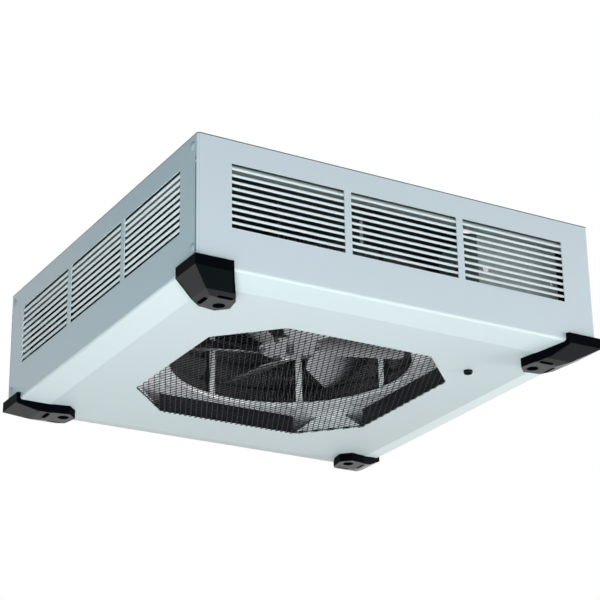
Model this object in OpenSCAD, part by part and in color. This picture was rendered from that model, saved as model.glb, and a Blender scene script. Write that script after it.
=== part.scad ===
// Ceiling mounted fan heater. Lengths are in millimetres and +Z is up.
// The ceiling touches z = 0 and the heater hangs below it. Z is negative in the heater.
// The front is the face towards -Y and the left is the face towards -X.
// Air is drawn up through the bottom grille and blown out through the louvred sides.

/* [Casing] */
// Width of the square casing over its painted faces
case_w = 450; // [430:5:480]
// Height of the painted sides, from the ceiling down to the bottom panel
case_h = 128.5; // [126:0.5:134]
// Thickness of the painted sheet steel
sheet = 1.2; // [1:0.1:1.4]
// Outside radius of the folded vertical corners
corner_r = 3; // [2.5:0.5:4]
// Gap of the vertical seam beside a folded corner
seam = 0.7; // [0.4:0.1:1]
// Diameter of the blind rivets' heads
rivet_d = 9; // [7:0.5:10]

/* [Louvres] */
// Groups of slots on each side
louvre_groups = 3; // [2:1:4]
// Slots in a group
louvre_rows = 10; // [6:1:10]
// Width over all the groups of one side
louvre_span = 379.2; // [340:0.2:384]
// Width of the plain bar between two groups
louvre_bar = 7.4; // [6:0.2:12]
// Distance from one slot to the next
louvre_pitch = 6.84; // [6.5:0.02:7]
// Height of a punched slot
louvre_open = 4; // [3.4:0.1:4.6]
// Depth of the top slot's upper edge below the ceiling
louvre_top = 24; // [22:0.1:26]
// How far the strips between the slots are turned, from upright
louvre_turn = 72; // [60:1:84]

/* [Bottom panel] */
// Width of the sloping band round the flat of the panel
bevel_w = 28.4; // [24:0.2:32]
// Depth of the panel's flat below the rim of the sides
bevel_drop = 9.6; // [8:0.1:11]
// Slope of the band in degrees
bevel_angle = 12.7; // [12:0.1:13.5]
// Width of the octagonal air opening across its long sides
opening_w = 278; // [270:1:284]
// How much of each corner the octagon's short sides cut off
opening_cut = 56.3; // [50:0.1:60]

/* [Grille] */
// Long way of one diamond of the expanded metal
cell_long = 25.6; // [24:0.1:30]
// Short way of one diamond
cell_short = 12.6; // [12:0.1:14]
// Width of a strand
strand_w = 2.4; // [2:0.1:3]
// Thickness of the raised mesh
grille_t = 2.6; // [2:0.1:3]
// How far the mesh stands proud of the panel
grille_proud = 1.4; // [0.5:0.1:1.6]
// Width of the grille's rim on the inside of the panel
grille_rim = 10; // [8:0.5:12]

/* [Corner guards] */
// How far a guard's walls stand proud of the sides
guard_proud = 3.5; // [3:0.1:4]
// How far a wall reaches up over the side
guard_up = 4.8; // [4:0.1:6]
// Length of a wall along the side
guard_arm = 36; // [34:0.5:38]
// Depth of the guard's foot below the rim
guard_drop = 19.2; // [18:0.1:21]
// Distance of the guard's screw from both faces of the casing
guard_screw = 46.3; // [45:0.1:48]
// Diameter of the recess for the screw's head
guard_recess_d = 12; // [11:0.5:13]

/* [Fan] */
// Number of blades
blades = 6; // [5:1:6]
// Radius of the blade tips
blade_r = 121; // [112:1:122]
// Radius of the curve across a blade
blade_curve = 140; // [130:1:160]
// Slope of a blade at its leading edge
blade_slope = 12; // [10:0.5:14]
// Depth of a blade's leading edge below the middle disc
blade_drop = 5.3; // [4:0.1:6]
// Thickness of the stamped aluminium
blade_t = 1.2; // [1:0.1:1.6]
// Radius of the air inlet ring in the fan plate
inlet_r = 127; // [126:0.5:130]
// Height of the fan plate above the flat of the bottom panel
fan_plate_up = 21.4; // [20:0.1:23]
// Diameter of the motor shaft
shaft_d = 8; // [6:0.5:10]

/* [Motor] */
// Diameter of the motor
motor_d = 84; // [80:1:86]
// Height of the motor's drawn shell without its end caps
motor_h = 38; // [34:1:40]

/* [Heating elements] */
// Number of finned rings
rings = 3; // [2:1:3]
// Radius of a ring, to the middle of its tube
ring_r = 150; // [149:0.5:151]
// Diameter of the element's tube
tube_d = 8; // [7:0.5:8.5]
// Diameter of a fin
fin_d = 22; // [18:0.5:22]
// Angle from one fin to the next
fin_step = 5; // [5:5:15]
// Distance from one ring to the next
ring_pitch = 26; // [24:0.5:26]

/* [Fixing] */
// Distance between the ceiling screws from left to right
fixing_x = 120; // [100:5:140]
// Distance between the ceiling screws from front to back
fixing_y = 400; // [390:5:404]
// Diameter of a ceiling screw's hole
fixing_d = 7; // [5:0.5:8]
// Diameter of the supply cable's knockout
knockout_d = 22.5; // [20:0.5:25]

/* [Hidden] */
$fn = 96;
half = case_w / 2;
z_rim = -case_h;
z_flat = z_rim - bevel_drop;
z_floor = z_flat + sheet;
flat_half = half - bevel_w;
opening_half = opening_w / 2;
z_plate = z_flat + fan_plate_up;
thin = 1;
z_deck = z_plate + thin;
z_grille = z_floor + thin;
tray_half = half - 2 * sheet - 0.2;
eps = 1;

// Louvres
louvre_w = (louvre_span - (louvre_groups - 1) * louvre_bar) / louvre_groups;
strip_w = louvre_pitch - louvre_open;
strip_t = 0.8;
strip_back = 0.1;
strip_root = 0.5;
window_h = louvre_rows * louvre_pitch - strip_w;
return_w = 18;
notch_z = -27;
notch_h = 3;
notch_w = 2;

// Rivets
rivet_y = 215.5;
rivet_zs = [-10.7, z_deck + 2.4];
shank_r = 1.6;
hole_slack = 0.1;

// Bottom panel
pan_r = 3;
pan_band = 0.8;
hem_half = tray_half + 0.1;
hem_h = 9.5;
spindle_x = 139.5;
spindle_y = -122;
spindle_hole_r = 4.7;
guard_hole = half - guard_screw;
screw_r = 2;
standoff_r = 5.5;

// Mounting plate
skirt_h = 27;
skirt_return = 12;
knockout_x = 120;
knockout_y = -165;
bead_w = 12;
bead_depth = 1.5;
bead_place = 184;

// Inlet lip, collar and posts
lip_r = 2;
lip_h = 4;
post_angles = [11, 56, 101, 146, 191, 236, 275];
post_w = 7;
post_t = 1.2;
post_in = inlet_r + 3.5;
post_out = ring_r + 13;
post_top = -sheet;
z_ring = [for (i = [0 : rings - 1]) z_deck + 13.7 + i * ring_pitch];
gap_angle = 12;
bend_r = 10;
lead_out = 17;
terminal_angle = -45;

// Fan
z_blade = z_flat + 40.4;
disc_r = 33;
disc_t = 1.5;
z_disc = z_blade + disc_t;
hub_r = 21;
hub_foot_r = 31;
hub_foot_t = 2;
hub_fillet = 5;
hub_h = 18;
z_set_screw = z_disc + 12;
blade_lead = 100.8;
fan_rivet_r = 28.5;
fan_rivet_lead = -10;

// Motor
motor_r = motor_d / 2;
motor_wall = 2;
cap_h = 6;
z_motor = z_disc + hub_h + 3;
z_shell = z_motor + cap_h;
z_shell_top = z_shell + motor_h;
z_motor_top = z_shell_top + cap_h;
stud_r = 2;
stud_ring = 30;
bracket_t = 2;
bracket_half = 48;
bracket_w = 56;
bracket_foot = 24;
running_gap = 0.05;

// Control box
box_left = 94;
box_right = 191;
box_front = -212;
box_back = -98;
box_slope = 46;
z_lid = -28.5;
box_outline = [
    [box_left, box_front], [box_right, box_front], [box_right, box_back],
    [box_left + box_slope, box_back], [box_left, box_back - box_slope]
];

paint_side = [0.80, 0.84, 0.87];
paint_pan = [0.90, 0.93, 0.93];
zinc = [0.72, 0.74, 0.75];
black_plastic = [0.07, 0.08, 0.09];
dark_steel = [0.16, 0.17, 0.18];

// ---- shared shapes ----

// Points of an arc round centre c, from angle a0 to a1
function arc(c, r, a0, a1, n) =
    [for (i = [0 : n]) c + r * [cos(a0 + (a1 - a0) * i / n), sin(a0 + (a1 - a0) * i / n)]];

// A square plate with its middle on the axis, from z0 to z1
module slab(half_w, z0, z1) {
    translate([-half_w, -half_w, z0]) cube([2 * half_w, 2 * half_w, z1 - z0]);
}

// A square frame between two half widths
module frame(outer, inner, z0, z1) {
    difference() {
        slab(outer, z0, z1);
        slab(inner, z0 - eps, z1 + eps);
    }
}

// A shape that is the same on all four sides: two prisms of one profile crossed.
// pts is the right half of the profile, from the bottom to the top.
module four_sided(pts) {
    n = len(pts);
    full = concat(pts, [for (i = [n - 1 : -1 : 0]) [-pts[i][0], pts[i][1]]]);
    intersection() {
        rotate([90, 0, 0]) linear_extrude(2 * case_w, center = true) polygon(full);
        rotate([90, 0, 90]) linear_extrude(2 * case_w, center = true) polygon(full);
    }
}

// A flat tube
module pipe(outer, inner, h) {
    difference() {
        cylinder(r = outer, h = h);
        translate([0, 0, -eps]) cylinder(r = inner, h = h + 2 * eps);
    }
}

// ---- casing ----

function group_x(g) = -louvre_span / 2 + g * (louvre_w + louvre_bar);
function slot_top(r) = -louvre_top - r * louvre_pitch;

// What the slots of a group and the strips between them take up, in the plane y = -half
module louvre_windows() {
    for (g = [0 : louvre_groups - 1]) {
        translate([group_x(g), -half - eps, -louvre_top - window_h])
            cube([louvre_w, sheet + 2 * eps, window_h]);
    }
}

// The strips between the slots. The press stretches them a little and turns their lower
// edges inwards, and their highest edges stay level with the slots.
module louvre_strips() {
    drop = strip_w - strip_t * sin(louvre_turn);
    for (g = [0 : louvre_groups - 1], r = [1 : louvre_rows - 1]) {
        translate([group_x(g) - strip_root, -half + strip_back, slot_top(r) + drop])
            rotate([louvre_turn, 0, 0])
                translate([0, 0, -strip_w]) cube([louvre_w + 2 * strip_root, strip_t, strip_w]);
    }
}

// Holes for the rivets in the sides towards -X and +X
module rivet_holes() {
    for (y = [-rivet_y, rivet_y], z = rivet_zs) {
        translate([0, y, z]) rotate([0, 90, 0])
            cylinder(r = shank_r + hole_slack, h = 2 * case_w, center = true);
    }
}

// Plan of the folded corner at -X of the front panel, with the return behind the left panel
module corner_fold() {
    translate([-half + corner_r, -half + corner_r]) intersection() {
        difference() {
            circle(r = corner_r);
            circle(r = corner_r - sheet);
        }
        translate([-corner_r, -corner_r]) square(corner_r);
    }
    translate([-half + sheet, -half + corner_r - sheet]) square([sheet, return_w]);
}

// Front or back panel: a louvred face that is folded round both corners
module folded_panel() {
    color(paint_side) {
        difference() {
            translate([0, 0, z_rim]) linear_extrude(case_h) {
                translate([-half + corner_r, -half]) square([case_w - 2 * corner_r, sheet]);
                corner_fold();
                mirror([1, 0]) corner_fold();
            }
            louvre_windows();
            rivet_holes();
        }
        louvre_strips();
    }
}

// Left or right panel, modelled in the front's plane: a flat louvred sheet.
// Its ends leave the seam, and close over it above the notch.
module flat_panel() {
    low = half - corner_r - seam;
    high = half - corner_r - 0.1;
    color(paint_side) {
        difference() {
            union() {
                translate([-low, -half, z_rim]) cube([2 * low, sheet, case_h]);
                translate([-high, -half, notch_z]) cube([2 * high, sheet, -notch_z]);
            }
            louvre_windows();
            for (s = [-1, 1]) {
                translate([s * high - notch_w, -half - eps, notch_z - notch_h])
                    cube([2 * notch_w, sheet + 2 * eps, notch_h]);
            }
            rotate([0, 0, 90]) rivet_holes();
        }
        louvre_strips();
    }
}

module casing_front() { folded_panel(); }
module casing_back() { rotate([0, 0, 180]) folded_panel(); }
module casing_right() { rotate([0, 0, 90]) flat_panel(); }
module casing_left() { rotate([0, 0, -90]) flat_panel(); }

// One blind rivet through the right side at the origin, with its head outside
module rivet() {
    head_h = 1.8;
    head_r = rivet_d / 2;
    dome_r = (head_r * head_r + head_h * head_h) / (2 * head_h);
    grip = half - tray_half + sheet;
    tail_r = shank_r + 0.6;
    steps = 6;
    rotate([0, 90, 0]) rotate_extrude($fn = 48) polygon(concat(
        [[0, -grip - eps], [tail_r, -grip - eps], [tail_r, -grip], [shank_r, -grip], [shank_r, 0]],
        [for (i = [0 : steps]) let (r = head_r * (1 - i / steps))
            [r, sqrt(dome_r * dome_r - r * r) - dome_r + head_h]]
    ));
}

module casing_rivets() {
    color(paint_side) for (side = [0, 180], y = [-rivet_y, rivet_y], z = rivet_zs) {
        rotate([0, 0, side]) translate([half, y, z]) rivet();
    }
}

// Galvanised tray against the ceiling, with a skirt inside the panels
module mounting_plate() {
    color(zinc) difference() {
        union() {
            slab(tray_half, -sheet, 0);
            frame(tray_half, tray_half - sheet, -skirt_h, 0);
            frame(tray_half, tray_half - skirt_return, -skirt_h, -skirt_h + sheet);
            for (a = [0 : 90 : 270]) rotate([0, 0, a]) bead(bead_w, -sheet - bead_depth, -sheet / 2);
        }
        for (a = [0 : 90 : 270]) rotate([0, 0, a]) bead(bead_w - 2 * sheet, -sheet - bead_depth + sheet, eps);
        for (x = [-1, 1], y = [-1, 1]) {
            translate([x * fixing_x / 2, y * fixing_y / 2, -sheet - eps])
                cylinder(d = fixing_d, h = sheet + 2 * eps);
        }
        translate([knockout_x, knockout_y, -sheet - eps]) cylinder(d = knockout_d, h = sheet + 2 * eps);
        rivet_holes();
    }
}

// Stiffening bead along one side of the plate, with round ends
module bead(w, z0, z1) {
    reach = 70;
    translate([0, bead_place, z0]) linear_extrude(z1 - z0) {
        translate([-reach, -w / 2]) square([2 * reach, w]);
        for (s = [-1, 1]) translate([s * reach, 0]) circle(d = w);
    }
}

// ---- bottom panel and grille ----

// Right half of the panel's profile, in by the given distance from its outer surface
function pan_profile(inset) = concat(
    [[flat_half - inset * tan(bevel_angle / 2), z_flat + inset]],
    arc([half - pan_r, z_rim - pan_band], pan_r - inset, bevel_angle - 90, 0, 6),
    [[half - inset, z_rim]]
);

// Corners of the octagonal opening grown by a distance
function opening_points(grow) =
    let (h = opening_half + grow, k = opening_half - opening_cut + grow * (sqrt(2) - 1))
    [[-h, -k], [-k, -h], [k, -h], [h, -k], [h, k], [k, h], [-k, h], [-h, k]];

// The dished bottom panel: flat middle, sloping band, rounded rim and a hem inside the casing
module bottom_panel() {
    color(paint_pan) difference() {
        union() {
            difference() {
                four_sided(pan_profile(0));
                four_sided(concat(pan_profile(sheet), [[half - sheet, z_rim + eps]]));
            }
            frame(half, hem_half - sheet, z_rim - sheet, z_rim);
            frame(hem_half, hem_half - sheet, z_rim - sheet, z_rim + hem_h);
        }
        translate([0, 0, z_flat - eps]) linear_extrude(sheet + 2 * eps)
            polygon(opening_points(0));
        translate([spindle_x, spindle_y, z_flat - eps]) cylinder(r = spindle_hole_r, h = sheet + 2 * eps);
        for (a = [0 : 90 : 270]) {
            rotate([0, 0, a]) translate([guard_hole, guard_hole, z_flat - eps])
                cylinder(r = screw_r + hole_slack, h = sheet + 2 * eps);
        }
    }
}

// One diamond opening of the mesh as a list of corners
function diamond(x, y) = [
    [x - cell_short / 2 + strand_w / 2, y], [x, y - cell_long / 2 + strand_w],
    [x + cell_short / 2 - strand_w / 2, y], [x, y + cell_long / 2 - strand_w]
];

// True where a whole diamond fits in the octagon with a margin
function in_opening(x, y, m) =
    abs(x) + cell_short / 2 < opening_half - m
    && abs(y) + cell_long / 2 < opening_half - m
    && abs(x) + abs(y) + cell_long / 2 < 2 * opening_half - opening_cut - m * sqrt(2);

// Expanded metal: raised diamonds in staggered rows, with a plain rim inside the panel
module grille_mesh() {
    fit = 0.4;
    lap = 2;
    nx = ceil(opening_w / cell_short);
    ny = ceil(opening_w / cell_long);
    centres = [
        for (i = [-nx : nx], j = [-ny : ny])
            let (x = i * cell_short / 2, y = (j + (abs(i) % 2) / 2) * cell_long)
            if (in_opening(x, y, fit + lap)) [x, y]
    ];
    z0 = z_flat - grille_proud;
    color(dark_steel) difference() {
        union() {
            translate([0, 0, z0]) linear_extrude(grille_t) polygon(opening_points(-fit));
            translate([0, 0, z0 + grille_t]) linear_extrude(thin) difference() {
                polygon(opening_points(grille_rim));
                polygon(opening_points(-fit - lap));
            }
        }
        translate([0, 0, z0 - eps]) linear_extrude(grille_t + thin + 2 * eps)
            for (c = centres) polygon(diamond(c[0], c[1]));
    }
}

// Upright blackened sides of the collar that clamps the grille
module inlet_collar() {
    side = opening_half - opening_cut;
    color(dark_steel) for (a = [0 : 90 : 270]) {
        rotate([0, 0, a]) translate([opening_half + 0.5, -side, z_grille])
            cube([thin, 2 * side, z_plate - z_grille]);
    }
}

// Bright sloping tabs across the corners of the collar, each with a rounded top
module corner_tabs() {
    foot = opening_cut / sqrt(2) - 2;
    top = 14;
    top_r = 7;
    lean = 13;
    slant = 1.5;
    across = (2 * opening_half - opening_cut) / sqrt(2) + 0.5;
    color(zinc) for (a = [45 : 90 : 315]) rotate([0, 0, a]) intersection() {
        rotate([90, 0, 0]) linear_extrude(2 * foot, center = true) polygon([
            [across, z_grille], [across + lean, z_plate],
            [across + lean + slant, z_plate], [across + slant, z_grille]
        ]);
        translate([across - eps, 0, 0]) rotate([90, 0, 90]) linear_extrude(lean + slant + 2 * eps)
            polygon(concat(
                [[-foot, z_grille], [foot, z_grille]],
                arc([top, z_plate - top_r], top_r, 40, 90, 4),
                arc([-top, z_plate - top_r], top_r, 90, 140, 4)
            ));
    }
}

// ---- corner guards ----

// Plan of a guard round a casing corner at the origin, with the casing towards +X +Y
module guard_plan() {
    p = guard_proud;
    polygon([
        [-p, -p], [guard_arm, -p], [50, 21], [56, 31], [59, 48.5],
        [48.5, 59], [31, 56], [21, 50], [-p, guard_arm]
    ]);
}

// What the two slopes of a guard's underside cut away along X
module guard_slope() {
    p = guard_proud;
    deep = guard_drop + 10;
    translate([-20, 0, 0]) rotate([90, 0, 90]) linear_extrude(100)
        polygon([
            [-p - 5, -6.1 + 2.42], [-p, -6.1], [19, -17], [28.5, -guard_drop],
            [28.5, -deep], [-p - 5, -deep]
        ]);
}

// Pocket beside the ridge, between the slope and the foot
module guard_pocket() {
    translate([37, 27.6, -guard_drop - eps]) linear_extrude(4.5 + eps) {
        translate([0, -2.2]) square([12, 4.4]);
        circle(r = 2.2);
        translate([12, 0]) circle(r = 2.2);
    }
}

// A guard in the row frame: its corner is at the front left of the casing
module guard() {
    color(black_plastic) difference() {
        translate([-half, -half, z_rim]) difference() {
            translate([0, 0, -guard_drop]) linear_extrude(guard_drop + guard_up) guard_plan();
            guard_slope();
            mirror([1, -1, 0]) guard_slope();
            guard_pocket();
            mirror([1, -1, 0]) guard_pocket();
            translate([guard_screw, guard_screw, -guard_drop - eps])
                cylinder(d = guard_recess_d, h = guard_drop - bevel_drop - 2 + eps);
            translate([guard_screw, guard_screw, -guard_drop - eps])
                cylinder(r = screw_r + hole_slack, h = guard_drop);
        }
        four_sided(pan_profile(0));
        slab(half, z_rim - eps, eps);
    }
}

module guard_front_left() { guard(); }
module guard_front_right() { rotate([0, 0, 90]) guard(); }
module guard_back_right() { rotate([0, 0, 180]) guard(); }
module guard_back_left() { rotate([0, 0, 270]) guard(); }

// Pan-head screws up through the guards and the panel into the standoffs
module guard_screws() {
    z_head = z_flat - 2;
    color(zinc) for (a = [0 : 90 : 270]) rotate([0, 0, a]) translate([guard_hole, guard_hole, 0]) {
        difference() {
            intersection() {
                translate([0, 0, z_head - 3.2]) cylinder(r = 4.4, h = 3.2);
                translate([0, 0, z_head + 1.6]) sphere(r = 5.4);
            }
            for (q = [0, 90]) rotate([0, 0, q])
                translate([-2.6, -0.5, z_head - 4]) cube([5.2, 1, 2.2]);
        }
        translate([0, 0, z_head]) cylinder(r = screw_r, h = 2 + sheet + 14);
    }
}

// Hexagonal standoffs that carry the bottom panel from the fan plate
module panel_standoffs() {
    color(zinc) for (a = [0 : 90 : 270]) rotate([0, 0, a]) translate([guard_hole, guard_hole, z_floor]) {
        difference() {
            cylinder(r = standoff_r, h = z_plate - z_floor, $fn = 6);
            translate([0, 0, -eps]) cylinder(r = screw_r + hole_slack, h = 16 + eps);
        }
    }
}

// ---- fan plate and fan ----

// Galvanised tray across the casing, with a lipped air inlet
module fan_plate() {
    flange_h = 17;
    color(zinc) difference() {
        union() {
            difference() {
                slab(tray_half, z_plate, z_deck);
                translate([0, 0, z_plate - eps]) cylinder(r = inlet_r + lip_r, h = thin + 2 * eps);
            }
            frame(tray_half, tray_half - thin, z_plate, z_deck + flange_h);
            inlet_ring();
        }
        rivet_holes();
        translate([spindle_x, spindle_y, z_plate - eps]) cylinder(r = 5.1, h = thin + 2 * eps);
    }
}

// The inlet's lip: a quarter round from the plate into a low wall
module inlet_ring() {
    rotate_extrude() {
        translate([inlet_r + lip_r, z_plate + lip_r]) intersection() {
            difference() {
                circle(r = lip_r);
                circle(r = lip_r - thin);
            }
            translate([-lip_r, -lip_r]) square(lip_r);
        }
        translate([inlet_r, z_plate + lip_r]) square([thin, lip_h - lip_r]);
    }
}

// Plan of one blade that leads at angle 0 and trails towards negative angles.
// Three of its circles touch the tip radius, and one is the neck on the disc.
module blade_plan() {
    hull() {
        blade_corner(6, -3);
        blade_corner(20, -17);
        blade_corner(14, -34);
        translate([58, -47]) circle(r = 10, $fn = 32);
        translate([24, -20]) circle(r = 7, $fn = 32);
        translate([52, -6]) circle(r = 6, $fn = 32);
    }
}

module blade_corner(r, a) {
    rotate(a) translate([blade_r - r, 0]) circle(r = r, $fn = 32);
}

// One blade: the plan cut out of a curved sheet that is low at its leading edge
module blade() {
    centre_y = blade_curve * sin(blade_slope);
    centre_z = blade_curve * cos(blade_slope);
    intersection() {
        translate([0, 0, -5]) linear_extrude(60) blade_plan();
        translate([0, centre_y, centre_z]) rotate([0, 90, 0])
            difference() {
                cylinder(r = blade_curve, h = blade_r + 10);
                translate([0, 0, -eps]) cylinder(r = blade_curve - blade_t, h = blade_r + 12);
            }
    }
}

// Six blades and their middle disc, stamped from one sheet.
// The blades cross the disc at their necks.
module fan_blades() {
    color(zinc) difference() {
        union() {
            for (i = [0 : blades - 1]) rotate([0, 0, blade_lead + i * 360 / blades])
                translate([0, 0, z_blade - blade_drop]) blade();
            translate([0, 0, z_blade]) cylinder(r = disc_r, h = disc_t);
        }
        translate([0, 0, z_blade - 5]) cylinder(r = shaft_d / 2 + 0.3, h = 30);
        translate([0, 0, z_disc]) cylinder(r = hub_foot_r + 0.3, h = 30);
        translate([0, 0, z_blade - 20]) cylinder(r = disc_r - 2, h = 20);
        fan_rivet_places() translate([0, 0, -eps]) cylinder(r = shank_r, h = disc_t + 2 * eps);
    }
}

// The rivets' places on the disc's underside, one between each two blades
module fan_rivet_places() {
    for (i = [0 : blades - 1]) rotate([0, 0, blade_lead + fan_rivet_lead + i * 360 / blades])
        translate([fan_rivet_r, 0, z_blade]) children();
}

// Cast hub with a flared foot on the disc and a hole for the set screw
module fan_hub() {
    color([0.62, 0.63, 0.65]) difference() {
        translate([0, 0, z_disc]) rotate_extrude() polygon(concat(
            [[shaft_d / 2, 0], [hub_foot_r, 0], [hub_foot_r, hub_foot_t]],
            arc([hub_r + hub_fillet, hub_foot_t + hub_fillet], hub_fillet, -90, -180, 6),
            [[hub_r - 1, hub_h], [shaft_d / 2, hub_h]]
        ));
        fan_rivet_places() translate([0, 0, disc_t - eps]) cylinder(r = shank_r, h = hub_foot_t + 2 * eps);
        translate([0, 0, z_set_screw]) rotate([0, 90, 0]) cylinder(r = 2, h = hub_r + eps);
    }
}

// Rivets that hold the blades to the hub, and the set screw that grips the shaft
module fan_rivets() {
    tail_r = 2.4;
    color(zinc) {
        fan_rivet_places() {
            translate([0, 0, -1.4]) cylinder(r = 3, h = 1.4);
            cylinder(r = shank_r, h = disc_t + hub_foot_t);
            translate([0, 0, disc_t + hub_foot_t]) cylinder(r = tail_r, h = 1);
        }
        translate([shaft_d / 2, 0, z_set_screw]) rotate([0, 90, 0]) cylinder(r = 2, h = 8);
    }
}

module motor_shaft() {
    color(zinc) translate([0, 0, z_blade - 6]) cylinder(d = shaft_d, h = z_motor_top - 4 - z_blade + 6);
}

// Squirrel-cage rotor pressed on the shaft
module motor_rotor() {
    color([0.45, 0.46, 0.48]) translate([0, 0, z_shell + 5]) pipe(20, shaft_d / 2, motor_h - 10);
}

// ---- motor ----

module motor_shell() {
    color(dark_steel) difference() {
        translate([0, 0, z_shell]) pipe(motor_r, motor_r - motor_wall, motor_h);
        for (i = [0 : 7]) rotate([0, 0, i * 45]) translate([motor_r, 0, z_shell + motor_h / 2])
            cube([12, 10, 4], center = true);
    }
}

// Ring of laminations with eight winding slots
module motor_stator() {
    color([0.5, 0.35, 0.2]) translate([0, 0, z_shell + 5]) difference() {
        pipe(motor_r - motor_wall, 20.5, motor_h - 10);
        for (i = [0 : 7]) rotate([0, 0, 22.5 + i * 45]) translate([29, 0, -eps])
            cylinder(r = 4, h = motor_h);
    }
}

// End cap with a bearing boss and cooling windows
module motor_cap() {
    difference() {
        union() {
            cylinder(r = motor_r, h = cap_h);
            translate([0, 0, cap_h]) pipe(motor_r - motor_wall, motor_r - 2 * motor_wall, 3);
        }
        translate([0, 0, 2]) pipe(motor_r - 2 * motor_wall, 15, cap_h);
        translate([0, 0, -eps]) cylinder(r = 11, h = cap_h + 2 * eps);
        for (i = [0 : 7]) rotate([0, 0, i * 45]) translate([22, -2.5, -eps]) cube([12, 5, 2 + 2 * eps]);
    }
}

module motor_cap_lower() {
    color(dark_steel) translate([0, 0, z_motor]) motor_cap();
}

module motor_cap_upper() {
    color(dark_steel) difference() {
        translate([0, 0, z_motor_top]) mirror([0, 0, 1]) motor_cap();
        stud_places() translate([0, 0, z_shell_top]) cylinder(r = stud_r, h = cap_h + eps);
    }
}

module motor_bearings() {
    color(zinc) for (z = [z_motor, z_shell_top]) translate([0, 0, z])
        pipe(11, shaft_d / 2 + running_gap, cap_h);
}

module stud_places() {
    for (a = [45 : 90 : 315]) rotate([0, 0, a + 22.5]) translate([stud_ring, 0, 0]) children();
}

// Studs of the upper cap with their nuts over the bracket
module motor_nuts() {
    z_web = z_motor_top;
    color(zinc) stud_places() {
        translate([0, 0, z_motor_top - 3]) cylinder(r = stud_r, h = 3 + bracket_t + 5);
        translate([0, 0, z_web + bracket_t]) difference() {
            cylinder(r = 4, h = 3.2, $fn = 6);
            translate([0, 0, -eps]) cylinder(r = stud_r, h = 6);
        }
    }
}

// Hat-shaped strap that hangs the motor, spot welded under the mounting plate
module motor_bracket() {
    z_web = z_motor_top;
    top = -sheet;
    outer = bracket_half + bracket_foot;
    color(zinc) difference() {
        rotate([90, 0, 0]) linear_extrude(bracket_w, center = true) polygon([
            [-outer, top], [-outer, top - bracket_t], [-bracket_half, top - bracket_t],
            [-bracket_half, z_web], [bracket_half, z_web], [bracket_half, top - bracket_t],
            [outer, top - bracket_t], [outer, top], [bracket_half - bracket_t, top],
            [bracket_half - bracket_t, z_web + bracket_t], [-bracket_half + bracket_t, z_web + bracket_t],
            [-bracket_half + bracket_t, top]
        ]);
        stud_places() translate([0, 0, z_web - eps]) cylinder(r = stud_r, h = bracket_t + 2 * eps);
        translate([0, 0, z_web - eps]) cylinder(r = 14, h = bracket_t + 2 * eps);
    }
}

// ---- heating elements ----

// One finned ring's bare tube: most of a circle, then two bends out to the control box
module element_tube(z) {
    tube_r = tube_d / 2;
    color(dark_steel) translate([0, 0, z]) rotate([0, 0, terminal_angle]) {
        rotate([0, 0, gap_angle]) rotate_extrude(angle = 360 - 2 * gap_angle)
            translate([ring_r, 0]) circle(r = tube_r);
        for (s = [0, 1]) mirror([0, s, 0]) rotate([0, 0, gap_angle]) translate([ring_r + bend_r, 0, 0]) {
            rotate([0, 0, 180]) rotate_extrude(angle = 90) translate([bend_r, 0]) circle(r = tube_r);
            translate([0, -bend_r, 0]) rotate([0, 90, 0]) cylinder(r = tube_r, h = lead_out);
        }
    }
}

// The fins of one ring: thin discs threaded on the tube, left out at the posts
module element_fins(z) {
    tube_r = tube_d / 2;
    start = post_angles[0] + fin_step / 2;
    color(dark_steel) for (i = [0 : 360 / fin_step - 1]) {
        a = start + i * fin_step;
        off = abs((a - terminal_angle + 540) % 360 - 180);
        if (off > gap_angle + 1) {
            rotate([0, 0, a]) translate([ring_r, 0, z]) rotate([90, 0, 0])
                translate([0, 0, -0.3]) difference() {
                    cylinder(d = fin_d, h = 0.6);
                    translate([0, 0, -eps]) cylinder(r = tube_r + 0.02, h = 3);
                }
        }
    }
}

module element_lower() { element_tube(z_ring[0]); }
module element_middle() { element_tube(z_ring[1]); }
module element_upper() { element_tube(z_ring[rings - 1]); }
module fins_lower() { element_fins(z_ring[0]); }
module fins_middle() { element_fins(z_ring[1]); }
module fins_upper() { element_fins(z_ring[rings - 1]); }

// Upright angle pieces that the tubes pass through, with a foot on the fan plate
// and another under the mounting plate
module element_posts() {
    foot_l = 20;
    color(zinc) for (a = post_angles) rotate([0, 0, a]) {
        translate([post_in, -post_w / 2, z_deck]) cube([post_t, post_w, post_top - z_deck]);
        difference() {
            translate([post_in, -post_t / 2, z_deck]) cube([post_out - post_in, post_t, post_top - z_deck]);
            for (z = z_ring) translate([ring_r, 0, z]) rotate([90, 0, 0])
                cylinder(r = tube_d / 2 + 0.02, h = 10, center = true);
        }
        for (z = [z_deck, post_top - post_t])
            translate([post_out - foot_l + 6, -post_w / 2, z]) cube([foot_l, post_w, post_t]);
    }
}

// Ceramic sleeves and terminal pins on the ends of the rings, inside the control box
module element_terminals() {
    tube_r = tube_d / 2;
    start = ring_r + bend_r + lead_out;
    color([0.93, 0.91, 0.86]) for (z = z_ring, s = [0, 1])
        translate([0, 0, z]) rotate([0, 0, terminal_angle]) mirror([0, s, 0])
            rotate([0, 0, gap_angle]) translate([start, -bend_r, 0]) rotate([0, 90, 0]) {
                cylinder(r = tube_r, h = 4);
                translate([0, 0, 4]) cylinder(r = 1.8, h = 9);
            }
}

// ---- control box ----

// The pentagonal outline moved inwards by a wall
function inner_outline(t) = [
    [box_left + t, box_front + t], [box_right - t, box_front + t], [box_right - t, box_back - t],
    [box_left + box_slope + t * tan(22.5), box_back - t], [box_left + t, box_back - box_slope - t * tan(22.5)]
];

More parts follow.
